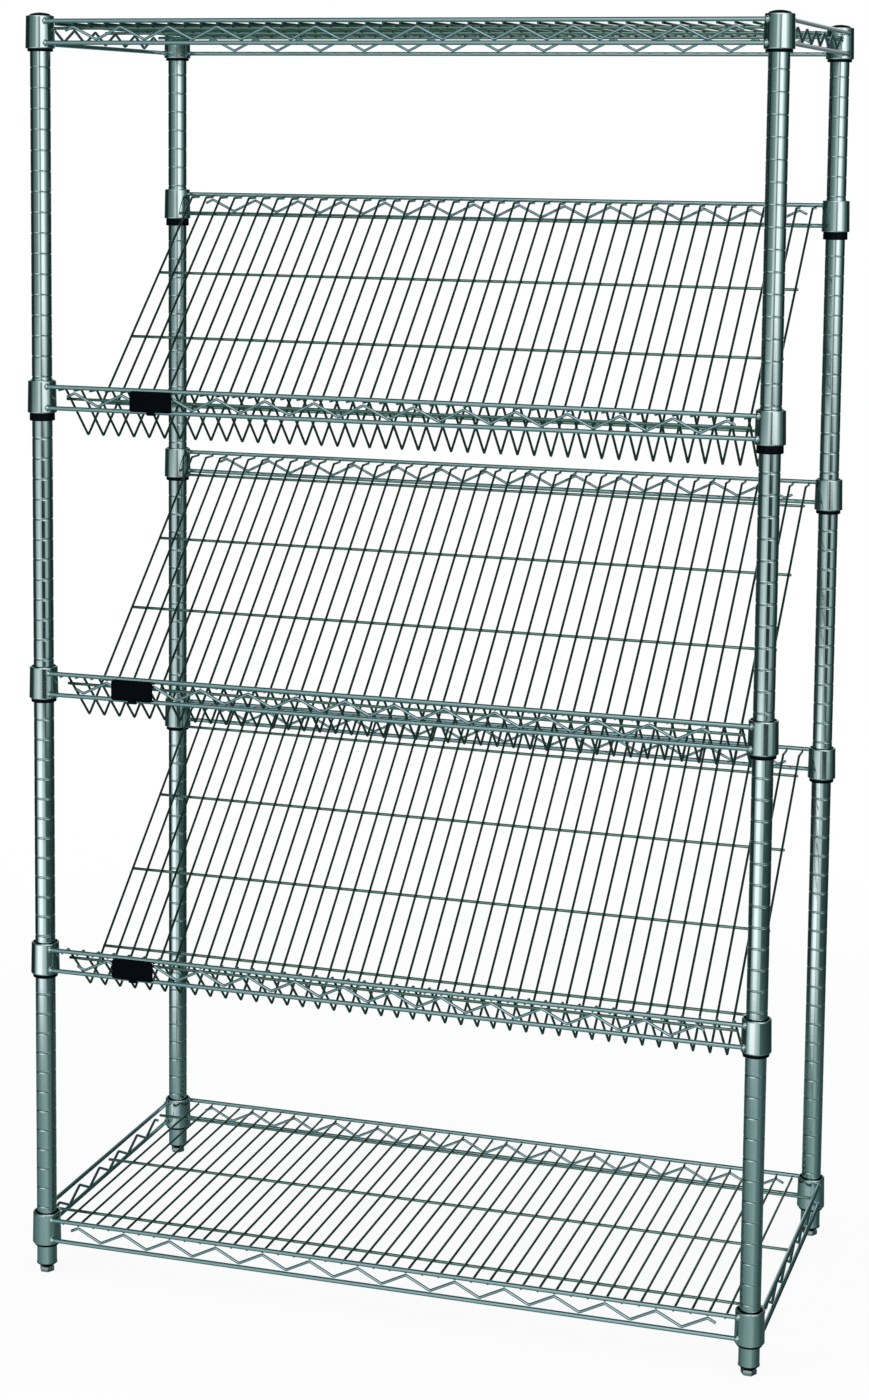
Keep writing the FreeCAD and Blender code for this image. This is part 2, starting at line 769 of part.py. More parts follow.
def make_tray_wires(shelf, height, rise):
    """Wires bent to a hook, a front leg, a slope and a rear hook, side by side."""
    body = new_body(f"{shelf}_wires")
    pipe = bent_wire(body, "YZ_Plane", tray_corners(rise), "deck_dia", "tray_bend")
    row_pattern(body, pipe, "X_Axis", DECK_WIDTH, "Sizes.deck_count")
    body.setExpression("Placement.Base.x", f"-{DECK_WIDTH} / 2")
    body.Placement.Base.z = height
    return keep(body)


def tray_cross_places(rise):
    """Middles of a tray's cross wires, welded to the outer side of the bent wires."""
    front_bend, fold, rear_bend = tray_corners(rise)[1:4]
    down_leg = (fold - front_bend).normalize()
    up_slope = (rear_bend - fold).normalize()
    stand_off = (size("deck_dia") + size("cross_dia")) / 2 - size("weld_bite")
    leg_out = Vector(down_leg.y, -down_leg.x) * stand_off
    slope_out = Vector(up_slope.y, -up_slope.x) * stand_off
    first, step = size("slope_cross_first"), size("slope_cross_step")
    places = [front_bend + down_leg * size("leg_cross") + leg_out]
    places += [fold + up_slope * (first + step * index) + slope_out for index in range(3)]
    places.append(rear_bend - up_slope * size("slope_cross_last") + slope_out)
    return places


def make_tray_cross_wires(shelf, height, rise):
    """Five wires along the tray that tie its bent wires together."""
    body = new_body(f"{shelf}_cross_wires")
    section = new_sketch(body, "Section", "YZ_Plane")
    for index, place in enumerate(tray_cross_places(rise)):
        add_circle(section, f"wire_{index}", place.x, place.y, "cross_dia")
    wires = body.newObject("PartDesign::Pad", "Wires")
    wires.Profile = section
    past = "Sizes.deck_dia + 2 * Sizes.tray_cross_past"
    wires.setExpression("Length", f"{DECK_WIDTH} + {past}")
    wires.Midplane = True
    body.Placement.Base.z = height
    return keep(body)


def make_label_holder(shelf, height, from_end):
    """A blank label plate in front of the rails, on a clip that goes under the low rail."""
    body = new_body(f"{shelf}_label_holder")
    rail = size("rail_dia") / 2
    clear = size("label_clearance")
    half_width = size("label_width") / 2
    inner = rail + clear
    outer = inner + size("label_clip_wall")
    level = size("low_rail_rise")
    plate_top = level + size("label_height")
    clip_on_plate = 2 * size("label_clip_wall")
    plate = new_sketch(body, "Plate", "XZ_Plane")
    add_outline(
        plate,
        [
            Vector(-half_width, level),
            Vector(half_width, level),
            Vector(half_width, plate_top),
            Vector(-half_width, plate_top),
        ],
    )
    plate.AttachmentOffset.Base = Vector(0, 0, inner)
    pad = body.newObject("PartDesign::Pad", "PlatePad")
    pad.Profile = plate
    pad.setExpression("Length", "Sizes.label_thick")
    doc.recompute()
    corners = []
    for index, edge in enumerate(body.Shape.Edges, start=1):
        if edge.BoundBox.YLength > size("label_thick") / 2:
            corners.append(f"Edge{index}")
    fillet = body.newObject("PartDesign::Fillet", "Corners")
    fillet.Base = (pad, corners)
    fillet.setExpression("Radius", "Sizes.label_corner")
    doc.recompute()
    clip = new_sketch(body, "Clip", "YZ_Plane")
    add_outline(
        clip,
        [
            Vector(-inner, level + clip_on_plate),
            Vector(-outer, level + clip_on_plate),
            Vector(-outer, level - outer),
            Vector(outer, level - outer),
            Vector(outer, level),
            Vector(inner, level),
            Vector(inner, level - inner),
            Vector(-inner, level - inner),
        ],
    )
    clip_pad = body.newObject("PartDesign::Pad", "ClipPad")
    clip_pad.Profile = clip
    clip_pad.setExpression("Length", "Sizes.label_clip_width")
    clip_pad.Midplane = True
    body.setExpression("Placement.Base.x", f"Sizes.{from_end} - Sizes.post_span_x / 2")
    body.Placement.Base.y = -front_line()
    body.Placement.Base.z = height
    return keep(body)


# ---------------------------------------------------------------- the rack

CORNERS = (
    ("front_left", -1, -1),
    ("front_right", 1, -1),
    ("rear_left", -1, 1),
    ("rear_right", 1, 1),
)


def make_flat_shelf(shelf, groove):
    """A flat shelf whose sleeves' ribs sit at this height."""
    height = sleeve_bottom(groove) + size("collar_seat")
    make_sleeves(f"{shelf}_sleeves", groove, 0, 0)
    make_collars(f"{shelf}_collars", height, 0)
    make_long_rails(shelf, height, 0)
    make_side_rails(shelf, height)
    make_long_trusses(shelf, height, 0, 1, False)
    make_side_trusses(shelf, height)
    make_deck_wires(shelf, height)
    make_flat_cross_wires(shelf, height)


def make_tray(shelf, groove, seat, label_from_end, first_upper, low_at_start):
    """A slanted tray whose front sleeves' ribs sit at this height."""
    height = sleeve_bottom(groove) + size(seat)
    rise = tray_rise()
    make_sleeves(f"{shelf}_sleeves", groove, rise, size("tray_sleeve_skirt"))
    make_collars(f"{shelf}_collars", height, rise)
    make_long_rails(shelf, height, rise)
    make_long_trusses(shelf, height, rise, first_upper, low_at_start)
    make_tray_wires(shelf, height, rise)
    make_tray_cross_wires(shelf, height, rise)
    make_label_holder(shelf, height, label_from_end)


for corner, side_x, side_y in CORNERS:
    make_post(f"post_{corner}", side_x, side_y)
    make_foot(f"levelling_foot_{corner}", side_x, side_y)
make_post_caps()
make_foot_inserts()
make_flat_shelf("bottom_shelf", groove_height(1))
make_flat_shelf("top_shelf", top_groove_height())
lower = groove_height(size("lower_tray_groove"))
make_tray("lower_tray", lower, "collar_seat", "label_from_end", 3, True)
middle_groove = groove_height(size("middle_tray_groove"))
make_tray("middle_tray", middle_groove, "collar_seat", "label_from_end", 3, True)
upper = groove_height(size("upper_tray_groove"))
make_tray("upper_tray", upper, "upper_tray_seat", "upper_label_from_end", 1, False)

doc.recompute()
for item in doc.Objects:
    if "Invalid" in item.State or "Error" in item.State:
        raise RuntimeError(f"{item.Label} failed: {item.State}")
os.makedirs("parts", exist_ok=True)
for item in subparts:
    shape = item.Shape
    if shape.isNull() or not shape.isValid():
        raise RuntimeError(f"{item.Label} has no valid shape")
    shape.exportStep(f"parts/{item.Label}.step")
    print(item.Label, len(shape.Solids), "solids", round(shape.Volume), "mm3")
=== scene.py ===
import math

import bpy
import numpy as np
from mathutils import Matrix, Vector, noise


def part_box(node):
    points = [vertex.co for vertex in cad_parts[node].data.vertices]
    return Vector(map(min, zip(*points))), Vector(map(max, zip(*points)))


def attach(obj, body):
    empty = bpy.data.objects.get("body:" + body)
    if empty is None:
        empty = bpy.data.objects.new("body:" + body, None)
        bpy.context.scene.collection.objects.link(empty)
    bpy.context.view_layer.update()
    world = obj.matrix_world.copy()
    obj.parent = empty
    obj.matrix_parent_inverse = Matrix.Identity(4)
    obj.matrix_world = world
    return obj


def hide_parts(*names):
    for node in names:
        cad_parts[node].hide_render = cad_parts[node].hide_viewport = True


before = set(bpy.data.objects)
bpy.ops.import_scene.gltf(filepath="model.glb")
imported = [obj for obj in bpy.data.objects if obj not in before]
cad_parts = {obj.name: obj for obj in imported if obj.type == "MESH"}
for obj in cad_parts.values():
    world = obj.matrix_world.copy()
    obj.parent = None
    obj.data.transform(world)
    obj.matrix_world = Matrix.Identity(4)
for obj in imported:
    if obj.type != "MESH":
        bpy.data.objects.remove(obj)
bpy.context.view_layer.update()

MM = 0.001

# ------------------------------------------------------------------ sizes, in millimetres

# the posts' axes
HALF_X = 457.2
HALF_Y = 215.9
POST_R = 12.7
POST_WALL = 1.5
EDGE = 0.3  # how much the edges of posts, caps and collars are eased
GROOVE_WIDTH = 1.7
GROOVE_DEPTH = 0.6
FIRST_GROOVE = 63.5  # above the floor, like TOP_GROOVE
GROOVE_PITCH = 25.4
EVEN_GROOVES = 59
TOP_GROOVE = 1583.7
PLUG_R = 11.1

CAP_PLUG_LENGTH = 13.0
CAP_RIM_R = 13.2
CAP_EDGE_R = 2.2
CAP_EDGE_LEVEL = 1.6
CAP_DOME = 4.0
# outline of a foot insert, as (radius, height above the post's lower end): bore, boss, flange, plug
INSERT_BOSS = 4.9
INSERT_OUTLINE = (
    (4.9, -INSERT_BOSS), (6.1, -INSERT_BOSS), (6.5, -4.5), (6.5, -1.6), (6.9, -1.2), (12.6, -1.2),
    (13.1, -0.8), (13.1, -0.2), (12.9, 0.0), (PLUG_R, 0.0), (PLUG_R, 24.0), (4.9, 24.0),
)
FOOT_ACROSS = 17.0
# a foot's hexagon, as (height above the floor, share of its full width)
FOOT_LEVELS = ((0.0, 0.93), (0.35, 0.965), (0.9, 1.0), (5.9, 1.0), (6.5, 0.965), (6.8, 0.92))
STEM_R = 4.75
STEM_BOTTOM = 6.0
STEM_TOP = 36.2
THREAD_ROOT_R = 4.3
THREAD_PITCH = 1.25
THREAD_FROM = 6.6
THREAD_TO = 35.0

TAPER = math.tan(math.radians(1.15))
COLLAR_HEIGHT = 40.0
COLLAR_BORE_R = 16.0
COLLAR_WALL = 2.2
SLEEVE_HEIGHT = 42.0
SLEEVE_GAP = 0.3
SLEEVE_SLIT = 0.4
SLEEVE_PLAY = 0.05
SEAT = 3.5  # how much lower a sleeve starts than its collar
UPPER_SEAT = 8.5  # the same on the upper tray
TRAY_SKIRT = 1.5  # how much further down a tray's sleeves reach

RAIL_R = 2.75
RAIL_OFFSET = 12.5  # from a post's axis outwards to the rails' line
RAIL_SINK = 0.9  # how far a rail's end reaches into the collar
# heights of the rails' axes above the collars' lower ends
TOP_RAIL = COLLAR_HEIGHT - 6.7
LOW_RAIL = 6.8
LINE_Y = HALF_Y + RAIL_OFFSET
LINE_X = HALF_X + RAIL_OFFSET
# weld beads round a rail's end, and the smaller drops over and under it
WELD_RADII = (3.3, 3.75)
DROP_RADII = (1.9, 1.9)
DROP_RISE = 2.6

# wires that are welded on each other sink in by this much
BITE = 0.08
WIRES = 42
WIRE_PITCH = 20.95
DECK_R = 1.55
DECK_INSET = 1.6
DECK_LEVEL = TOP_RAIL - math.sqrt(RAIL_R**2 - DECK_INSET**2) - DECK_R + BITE
CROSS_R = 1.9
CROSS_Y = (-175.0, 0.0, 175.0)
CROSS_END_GAP = 1.7
CROSS_OVERHANG = 1.5
TRUSS_R = 1.8
TRUSS_INSET = 2.2
TRUSS_BEND_R = 5.0
TRUSS_FREE_END = 10.0
TRUSS_HIGH = DECK_LEVEL - DECK_R - TRUSS_R + BITE
TRUSS_LOW = LOW_RAIL + math.sqrt((RAIL_R + TRUSS_R) ** 2 - TRUSS_INSET**2) - BITE
WIRES_PER_BEND = 3
SIDE_BENDS = 6

# a tray's bent wires, measured inwards from the rails' lines
FRONT_HOOK = 22.0
REAR_HOOK = 27.0
FOLD_INSET = 88.0
FOLD_DEPTH = 68.5
FOLD_R = 2.4
# its cross wires: one down the leg, three up the slope, one before the slope's upper end
LEG_TIE = 16.2
SLOPE_TIES = (59.5, 181.5, 303.5)
LAST_TIE = 30.0

PLATE_HALF_W = 27.5
PLATE_HALF_H = 12.5
PLATE_THICK = 2.0
PLATE_CORNER_R = 3.0
PLATE_LEAST_R = 0.6
# the plate from its back to the sunk face inside its rim, as (inset, depth behind the front)
PLATE_LAYERS = (
    (0.0, PLATE_THICK), (0.0, 0.45), (0.15, 0.12), (0.5, 0.0), (1.7, 0.0), (2.0, 0.15),
    (2.15, 0.55),
)
# a label's clip seen along the low rail, as (y, z) from the rail's axis
CLIP_OUTLINE = (
    (-2.85, 2.0), (-3.85, 2.0), (-3.85, -3.1), (-3.1, -3.85), (3.1, -3.85), (3.85, -3.1),
    (3.85, 0.0), (2.85, 0.0), (2.85, -2.4), (2.4, -2.85), (-2.4, -2.85), (-2.85, -2.4),
)
CLIP_HALF_LENGTH = 5.0

CORNERS = (
    ("front_left", -1, -1),
    ("front_right", 1, -1),
    ("rear_left", -1, 1),
    ("rear_right", 1, 1),
)
FLAT_SHELVES = ("bottom_shelf", "top_shelf")
TRAYS = ("lower_tray", "middle_tray", "upper_tray")

# bends sharper than this, in degrees, are shaded as edges
GROOVED, MOULDED, DRAWN, WELDED = 22, 30, 40, 60
FULL_TURN = 2 * math.pi
WIRE_SIDES = 14
RAIL_SIDES = 20


# ------------------------------------------------------------------ mesh building


class Surface:
    """Vertices and faces of one piece, gathered in millimetres."""

    def __init__(self):
        self.points = []
        self.faces = []

    def add(self, points, faces):
        start = len(self.points)
        self.points += [tuple(p) for p in points]
        self.faces += [tuple(start + i for i in face) for face in faces]

    def stack(self, rings):
        """A skin over rings of equally many points, closed flat at both ends."""
        count = len(rings[0])
        faces = []
        for r in range(len(rings) - 1):
            for k in range(count):
                a, b = r * count + k, r * count + (k + 1) % count
                faces.append((a, b, b + count, a + count))
        faces.append(tuple(reversed(range(count))))
        base = (len(rings) - 1) * count
        faces.append(tuple(base + k for k in range(count)))
        self.add([point for ring in rings for point in ring], faces)

    def build(self, name, sharp):
        mesh = bpy.data.meshes.new(name)
        points = (np.array(self.points, float) * MM).tolist()
        mesh.from_pydata(points, [], self.faces)
        mesh.validate()
        mesh.shade_smooth()
        mesh.set_sharp_from_angle(angle=math.radians(sharp))
        mesh.update()
        item = bpy.data.objects.new(name, mesh)
        bpy.context.scene.collection.objects.link(item)
        return item


def rounded_path(corners, radius, steps):
    """Points along straight runs through the corners, with arcs at the bends."""
    path = [corners[0]]
    for before, corner, after in zip(corners, corners[1:], corners[2:]):
        back = (before - corner).normalized()
        ahead = (after - corner).normalized()
        half = back.angle(ahead) / 2
        cut = radius / math.tan(half)
        centre = corner + (back + ahead).normalized() * (radius / math.sin(half))
        first = corner + back * cut - centre
        last = corner + ahead * cut - centre
        for step in range(steps + 1):
            path.append(centre + first.slerp(last, step / steps).normalized() * radius)
    path.append(corners[-1])
    return path


def straight(first, last, steps):
    """Evenly spaced points from the first to the last."""
    return [Vector(first).lerp(Vector(last), i / steps) for i in range(steps + 1)]


def tube(surface, path, radius, sides=WIRE_SIDES, round_ends=True):
    """A round wire along a path. Its ends' edges are eased, or left sharp where they're hidden."""
    tangents = []
    for i in range(len(path)):
        before = path[max(i - 1, 0)]
        after = path[min(i + 1, len(path) - 1)]
        tangents.append((after - before).normalized())
    stations = [(p, t, 1.0) for p, t in zip(path, tangents)]
    if round_ends:
        edge, share = radius * 0.35, 0.72
        (head, head_way, _), (tail, tail_way, _) = stations[0], stations[-1]
        stations = (
            [(head, head_way, share), (head + head_way * edge, head_way, 1.0)]
            + stations[1:-1]
            + [(tail - tail_way * edge, tail_way, 1.0), (tail, tail_way, share)]
        )
    angles = [FULL_TURN * k / sides for k in range(sides)]
    side = tangents[0].orthogonal().normalized()
    last = tangents[0]
    rings = []
    for point, tangent, share in stations:
        side = (last.rotation_difference(tangent) @ side).normalized()
        side = (side - tangent * side.dot(tangent)).normalized()
        up = tangent.cross(side)
        last = tangent
        rings.append([point + (side * math.cos(a) + up * math.sin(a)) * radius * share
                      for a in angles])
    surface.stack(rings)


def turned(surface, outline, centre, sides, start=0.0, sweep=FULL_TURN):
    """A closed outline of (radius, height) pairs turned about a vertical axis."""
    closed = sweep == FULL_TURN
    columns = sides if closed else sides + 1
    count = len(outline)
    points = []
    for c in range(columns):
        a = start + sweep * c / sides
        for r, z in outline:
            points.append((centre[0] + r * math.cos(a), centre[1] + r * math.sin(a), centre[2] + z))
    faces = []
    for c in range(sides):
        here, there = c * count, ((c + 1) % columns) * count
        for k in range(count):
            n = (k + 1) % count
            on_axis = (outline[k][0] == 0, outline[n][0] == 0)
            if on_axis == (False, False):
                faces.append((here + k, there + k, there + n, here + n))
            elif on_axis == (True, False):
                faces.append((here + k, there + n, here + n))
            elif on_axis == (False, True):
                faces.append((here + k, there + k, here + n))
    if not closed:
        faces.append(tuple(range(count)))
        faces.append(tuple((columns - 1) * count + k for k in reversed(range(count))))
    surface.add(points, faces)


def on_posts(surface, outline, sides, level, rise=0.0, arcs=((0.0, FULL_TURN),)):
    """The same outline turned about each post's axis; the rear ones are higher by the rise."""
    for _, side_x, side_y in CORNERS:
        centre = (side_x * HALF_X, side_y * HALF_Y, level + (rise if side_y > 0 else 0))
        for start, sweep in arcs:
            turned(surface, outline, centre, sides, start, sweep)


def bead(surface, centre, radii, axis, seed):
    """A weld bead: a small lumpy ellipsoid with its first radius along the axis."""
    side = axis.orthogonal().normalized()
    up = axis.cross(side)
    rings, columns, rough, lump = 9, 14, 0.16, 2.1
    drift = Vector((seed * 7.3, seed * 1.7, 0))
    points = [centre - axis * radii[0]]
    for r in range(1, rings):
        a = math.pi * r / rings
        for c in range(columns):
            b = FULL_TURN * c / columns
            d = Vector((-math.cos(a), math.sin(a) * math.cos(b), math.sin(a) * math.sin(b)))
            swell = 1 + rough * noise.noise(d * lump + drift)
            reach = axis * d.x * radii[0] + side * d.y * radii[1] + up * d.z * radii[1]
            points.append(centre + reach * swell)
    points.append(centre + axis * radii[0])
    faces = []
    tip = 1 + (rings - 2) * columns
    for c in range(columns):
        n = (c + 1) % columns
        faces.append((0, 1 + n, 1 + c))
        for r in range(rings - 2):
            a, b = 1 + r * columns + c, 1 + r * columns + n
            faces.append((a, b, b + columns, a + columns))
        faces.append((tip + c, tip + n, len(points) - 1))
    surface.add(points, faces)


def place(item, body, nodes, material):
    """The piece moves with the body and stands for the CAD nodes."""
    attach(item, body)
    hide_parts(*nodes)
    item.data.materials.append(material)


# ------------------------------------------------------------------ materials


def feed(tree, node, inputs):
    """Sets a node's sockets, or links those whose value is another node's output."""
    for socket, value in inputs.items():
        if isinstance(value, bpy.types.NodeSocket):
            tree.links.new(value, node.inputs[socket])
        else:
            node.inputs[socket].default_value = value


def add_node(tree, kind, inputs=None, **settings):
    node = tree.nodes.new(f"ShaderNode{kind}")
    for name, value in settings.items():
        setattr(node, name, value)
    feed(tree, node, inputs or {})
    return node


def object_noise(tree, scale, detail):
    at = add_node(tree, "TexCoord").outputs["Object"]
    node = add_node(tree, "TexNoise", {"Vector": at, "Scale": scale, "Detail": detail})
    return node.outputs["Fac"]


def bumps(tree, height, strength, distance):
    node = add_node(
        tree, "Bump", {"Height": height, "Strength": strength, "Distance": distance}
    )
    return node.outputs["Normal"]


def shader(name):
    material = bpy.data.materials.new(name)
    material.use_nodes = True
    tree = material.node_tree
    return material, tree, tree.nodes["Principled BSDF"]


def chrome(name, color, roughness, spread, bump, scale):
    """Plated steel: a metal with slightly uneven gloss and a faint ripple."""
    material, tree, surface = shader(name)
    gloss = add_node(tree, "MapRange", {
        "Value": object_noise(tree, scale, 3.0),
        "To Min": roughness - spread,
        "To Max": roughness + spread,
    })
    feed(tree, surface, {
        "Base Color": (*color, 1),
        "Metallic": 1.0,
        "Roughness": gloss.outputs["Result"],
        "Normal": bumps(tree, object_noise(tree, scale * 4, 2.0), bump, 0.0002),
    })
    return material


def plastic(name, color, roughness, gloss):
    """Moulded plastic with a fine grain."""
    material, tree, surface = shader(name)
    feed(tree, surface, {
        "Base Color": (*color, 1),
        "Roughness": roughness,
        "Specular IOR Level": gloss,
        "Normal": bumps(tree, object_noise(tree, 900.0, 2.0), 0.12, 0.0001),
    })
    return material


INK = (0.001, 0.002, 0.004)
POST = chrome("post_chrome", (0.54, 0.63, 0.64), 0.08, 0.03, 0.05, 30.0)
COLLAR = chrome("collar_chrome", (0.54, 0.63, 0.64), 0.10, 0.03, 0.06, 45.0)
RAIL = chrome("rail_chrome", (0.36, 0.50, 0.52), 0.14, 0.04, 0.10, 80.0)
TRUSS = chrome("truss_chrome", (0.34, 0.47, 0.51), 0.14, 0.04, 0.10, 80.0)
# the deck and cross wires get darker, greener base colours than the rails: partly the wires' own
# tone and partly painted shade for the dark studio they mirror
WIRE = chrome("wire_chrome_and_painted_shade", (0.12, 0.21, 0.16), 0.16, 0.05, 0.10, 80.0)
CROSS = chrome("cross_chrome_and_painted_shade", (0.21, 0.34, 0.29), 0.18, 0.05, 0.10, 80.0)
WELD = chrome("weld_chrome", (0.60, 0.69, 0.69), 0.24, 0.05, 0.35, 120.0)
ZINC = chrome("zinc", (0.36, 0.42, 0.41), 0.32, 0.06, 0.15, 80.0)
BLACK = plastic("black_plastic", INK, 0.34, 0.06)
LABEL = plastic("label_plastic", INK, 0.36, 0.03)


# ------------------------------------------------------------------ posts, caps and feet


def post_outline(low, high):
    """A post's wall with its grooves, as (radius, height above the lower end)."""
    inner = POST_R - POST_WALL
    tall = high - low
    outline = [(inner, 0.0), (POST_R - EDGE, 0.0), (POST_R, EDGE)]
    levels = [FIRST_GROOVE + i * GROOVE_PITCH for i in range(EVEN_GROOVES)] + [TOP_GROOVE]
    half = GROOVE_WIDTH / 2
    side = (
        (-half - 1.3, 0.0), (-half - 0.5, 0.0), (-half, 0.06), (-0.25, GROOVE_DEPTH),
        (0.25, GROOVE_DEPTH), (half, 0.06), (half + 0.5, 0.0), (half + 1.3, 0.0),
    )
    for level in levels:
        outline += [(POST_R - depth, level - low + shift) for shift, depth in side]
    outline += [(POST_R, tall - EDGE), (POST_R - EDGE, tall), (inner, tall)]
    return outline


def arc(centre, radius, first, last, steps):
    """Points of an arc as (radius, height) pairs; angles in degrees."""
    points = []
    for i in range(steps + 1):
        a = math.radians(first + (last - first) * i / steps)
        points.append((centre[0] + radius * math.cos(a), centre[1] + radius * math.sin(a)))
    return points


def cap_outline():
    """A plug, a rim with a rounded edge, and a dome that continues the edge's curve."""
    flat = CAP_RIM_R - CAP_EDGE_R
    crown_r = (flat**2 + CAP_DOME**2 - CAP_EDGE_R**2) / (2 * (CAP_DOME - CAP_EDGE_R))
    top = CAP_EDGE_LEVEL + CAP_DOME
    lean = math.degrees(math.atan2(crown_r - CAP_DOME, flat))
    return (
        [(0.0, -CAP_PLUG_LENGTH), (PLUG_R, -CAP_PLUG_LENGTH), (PLUG_R, 0.0),
         (CAP_RIM_R - EDGE, 0.0), (CAP_RIM_R, EDGE)]
        + arc((flat, CAP_EDGE_LEVEL), CAP_EDGE_R, 0, lean, 8)
        + arc((0.0, top - crown_r), crown_r, lean, 90, 8)[1:-1]
        + [(0.0, top)]
    )


def foot_with_stem(x, y):
    """A hexagonal foot with chamfered edges and a threaded stem that rises from it."""
    foot = Surface()
    widest = FOOT_ACROSS / 2 / math.cos(math.pi / 6)
    angles = [math.radians(60 * k) for k in range(6)]
    foot.stack([
        [(x + widest * share * math.cos(a), y + widest * share * math.sin(a), z) for a in angles]
        for z, share in FOOT_LEVELS
    ])
    stem = [(0.0, STEM_BOTTOM), (STEM_R, STEM_BOTTOM)]
    z = THREAD_FROM
    while z < THREAD_TO:
        stem += [(STEM_R, z), (THREAD_ROOT_R, z + 0.5), (STEM_R, z + 1.0)]
        z += THREAD_PITCH
    stem += [(4.2, STEM_TOP), (0.0, STEM_TOP)]
    turned(foot, stem, (x, y, 0.0), 32)
    return foot


for corner, side_x, side_y in CORNERS:
    node = f"post_{corner}"
    low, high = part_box(node)
    post = Surface()
    outline = post_outline(low.z / MM, high.z / MM)
    turned(post, outline, (side_x * HALF_X, side_y * HALF_Y, low.z / MM), 72)
    place(post.build(f"{node}_tube", GROOVED), "posts", [node], POST)

caps = Surface()
cap_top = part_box("post_caps")[1].z / MM
on_posts(caps, cap_outline(), 64, cap_top - CAP_EDGE_LEVEL - CAP_DOME)
place(caps.build("post_cap_domes", DRAWN), "posts", ["post_caps"], BLACK)

inserts = Surface()
boss_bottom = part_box("foot_inserts")[0].z / MM
on_posts(inserts, INSERT_OUTLINE, 56, boss_bottom + INSERT_BOSS)
place(inserts.build("foot_insert_plugs", DRAWN), "posts", ["foot_inserts"], BLACK)

for corner, side_x, side_y in CORNERS:
    node = f"levelling_foot_{corner}"
    foot = foot_with_stem(side_x * HALF_X, side_y * HALF_Y)
    place(foot.build(f"{node}_hex", MOULDED), node, [node], ZINC)


# ------------------------------------------------------------------ sleeves and collars


def make_sleeves(shelf, z0, rise, seat, skirt):
    """Two tapered halves at each post, with the split at the sides."""
    foot_r = COLLAR_BORE_R - SLEEVE_GAP + (SEAT + skirt) * TAPER
    tall = SLEEVE_HEIGHT + skirt
    top_r = foot_r - tall * TAPER
    inner = POST_R + SLEEVE_PLAY
    outline = [
        (inner, 0.0), (foot_r - 0.7, 0.0), (foot_r - 0.2, 0.25), (foot_r, 0.8),
        (foot_r - 3.0 * TAPER, 3.0), (top_r + 3.0 * TAPER, tall - 3.0), (top_r, tall - 0.6),
        (top_r - 0.6, tall), (inner, tall),
    ]
    gap = SLEEVE_SLIT / 2 / inner
    halves = [(turn - math.pi / 2 + gap, math.pi - 2 * gap) for turn in (0, math.pi)]
    surface = Surface()
    on_posts(surface, outline, 36, z0 - seat - skirt, rise, halves)
    place(surface.build(f"{shelf}_sleeve_halves", DRAWN), "posts",
          [f"{shelf}_sleeves"], BLACK)


def make_collars(shelf, z0, rise):
    """Tubes that narrow upwards inside and outside, with eased edges."""
    tall = COLLAR_HEIGHT
    inner, outer = COLLAR_BORE_R, COLLAR_BORE_R + COLLAR_WALL
    top_inner, top_outer = inner - tall * TAPER, outer - tall * TAPER
    outline = [
        (inner, EDGE), (inner + EDGE, 0.0), (outer - 0.7, 0.0), (outer - 0.25, 0.2),
        (outer - 0.02, 0.7), (outer - 1.5 * TAPER, 1.5), (outer - (tall - 1.5) * TAPER, tall - 1.5),
        (outer - (tall - 0.7) * TAPER, tall - 0.7), (top_outer - 0.25, tall - 0.2),
        (top_outer - 0.7, tall), (top_inner + EDGE, tall), (top_inner, tall - EDGE),
    ]
    surface = Surface()
    on_posts(surface, outline, 80, z0, rise)
    place(surface.build(f"{shelf}_collar_tubes", MOULDED), shelf,
          [f"{shelf}_collars"], COLLAR)


# ------------------------------------------------------------------ rails and zigzags


def long_point(side, z0):
    """Places a point of a front (-1) or rear (+1) rail line; the rear one is turned round."""
    return lambda s, h, inset=0.0: Vector((s * -side, side * (LINE_Y - inset), z0 + h))


def end_point(side, z0):
    """The same for a left (-1) or right (+1) rail line."""
    return lambda s, h, inset=0.0: Vector((side * (LINE_X - inset), s * side, z0 + h))


def rail_pair(wires, beads, half_span, point, seed):
    """A top and a low rail that end inside the collars' walls, with welds at each end."""
    for level in (TOP_RAIL, LOW_RAIL):
        collar_r = COLLAR_BORE_R + COLLAR_WALL - level * TAPER
        skin = math.sqrt(collar_r**2 - RAIL_OFFSET**2)
        reach = half_span - skin + RAIL_SINK
        ends = [point(-reach, level), point(reach, level)]
        tube(wires, straight(*ends, 8), RAIL_R, RAIL_SIDES, round_ends=False)
        for end, other in (ends, ends[::-1]):
            along = (other - end).normalized()
            seed += 1
            bead(beads, end + along * 0.8, WELD_RADII, along, seed)
            for number, rise in enumerate((-DROP_RISE, DROP_RISE), start=1):
                middle = end + along * 0.2 + Vector((0, 0, rise))
                bead(beads, middle, DROP_RADII, along, seed + 0.37 * number)


def place_rails(shelf, word, wires, beads):
    place(wires.build(f"{shelf}_{word}_rail_wires", DRAWN), shelf,
          [f"{shelf}_{word}_rails"], RAIL)
    welds = beads.build(f"{shelf}_{word}_rail_welds", WELDED)
    welds.data.materials.append(WELD)
    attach(welds, shelf)


def make_rails(shelf, z0, rise, seed):
    for word, side, lift in (("front", -1, 0.0), ("rear", 1, rise)):
        wires, beads = Surface(), Surface()
        rail_pair(wires, beads, HALF_X, long_point(side, z0 + lift), seed + side * 10)
        place_rails(shelf, word, wires, beads)


def make_side_rails(shelf, z0, seed):
    wires, beads = Surface(), Surface()
    for side in (-1, 1):
        rail_pair(wires, beads, HALF_Y, end_point(side, z0), seed + 20 + side * 5)
    place_rails(shelf, "side", wires, beads)


def wire_x(index):
    return (index - (WIRES - 1) / 2) * WIRE_PITCH


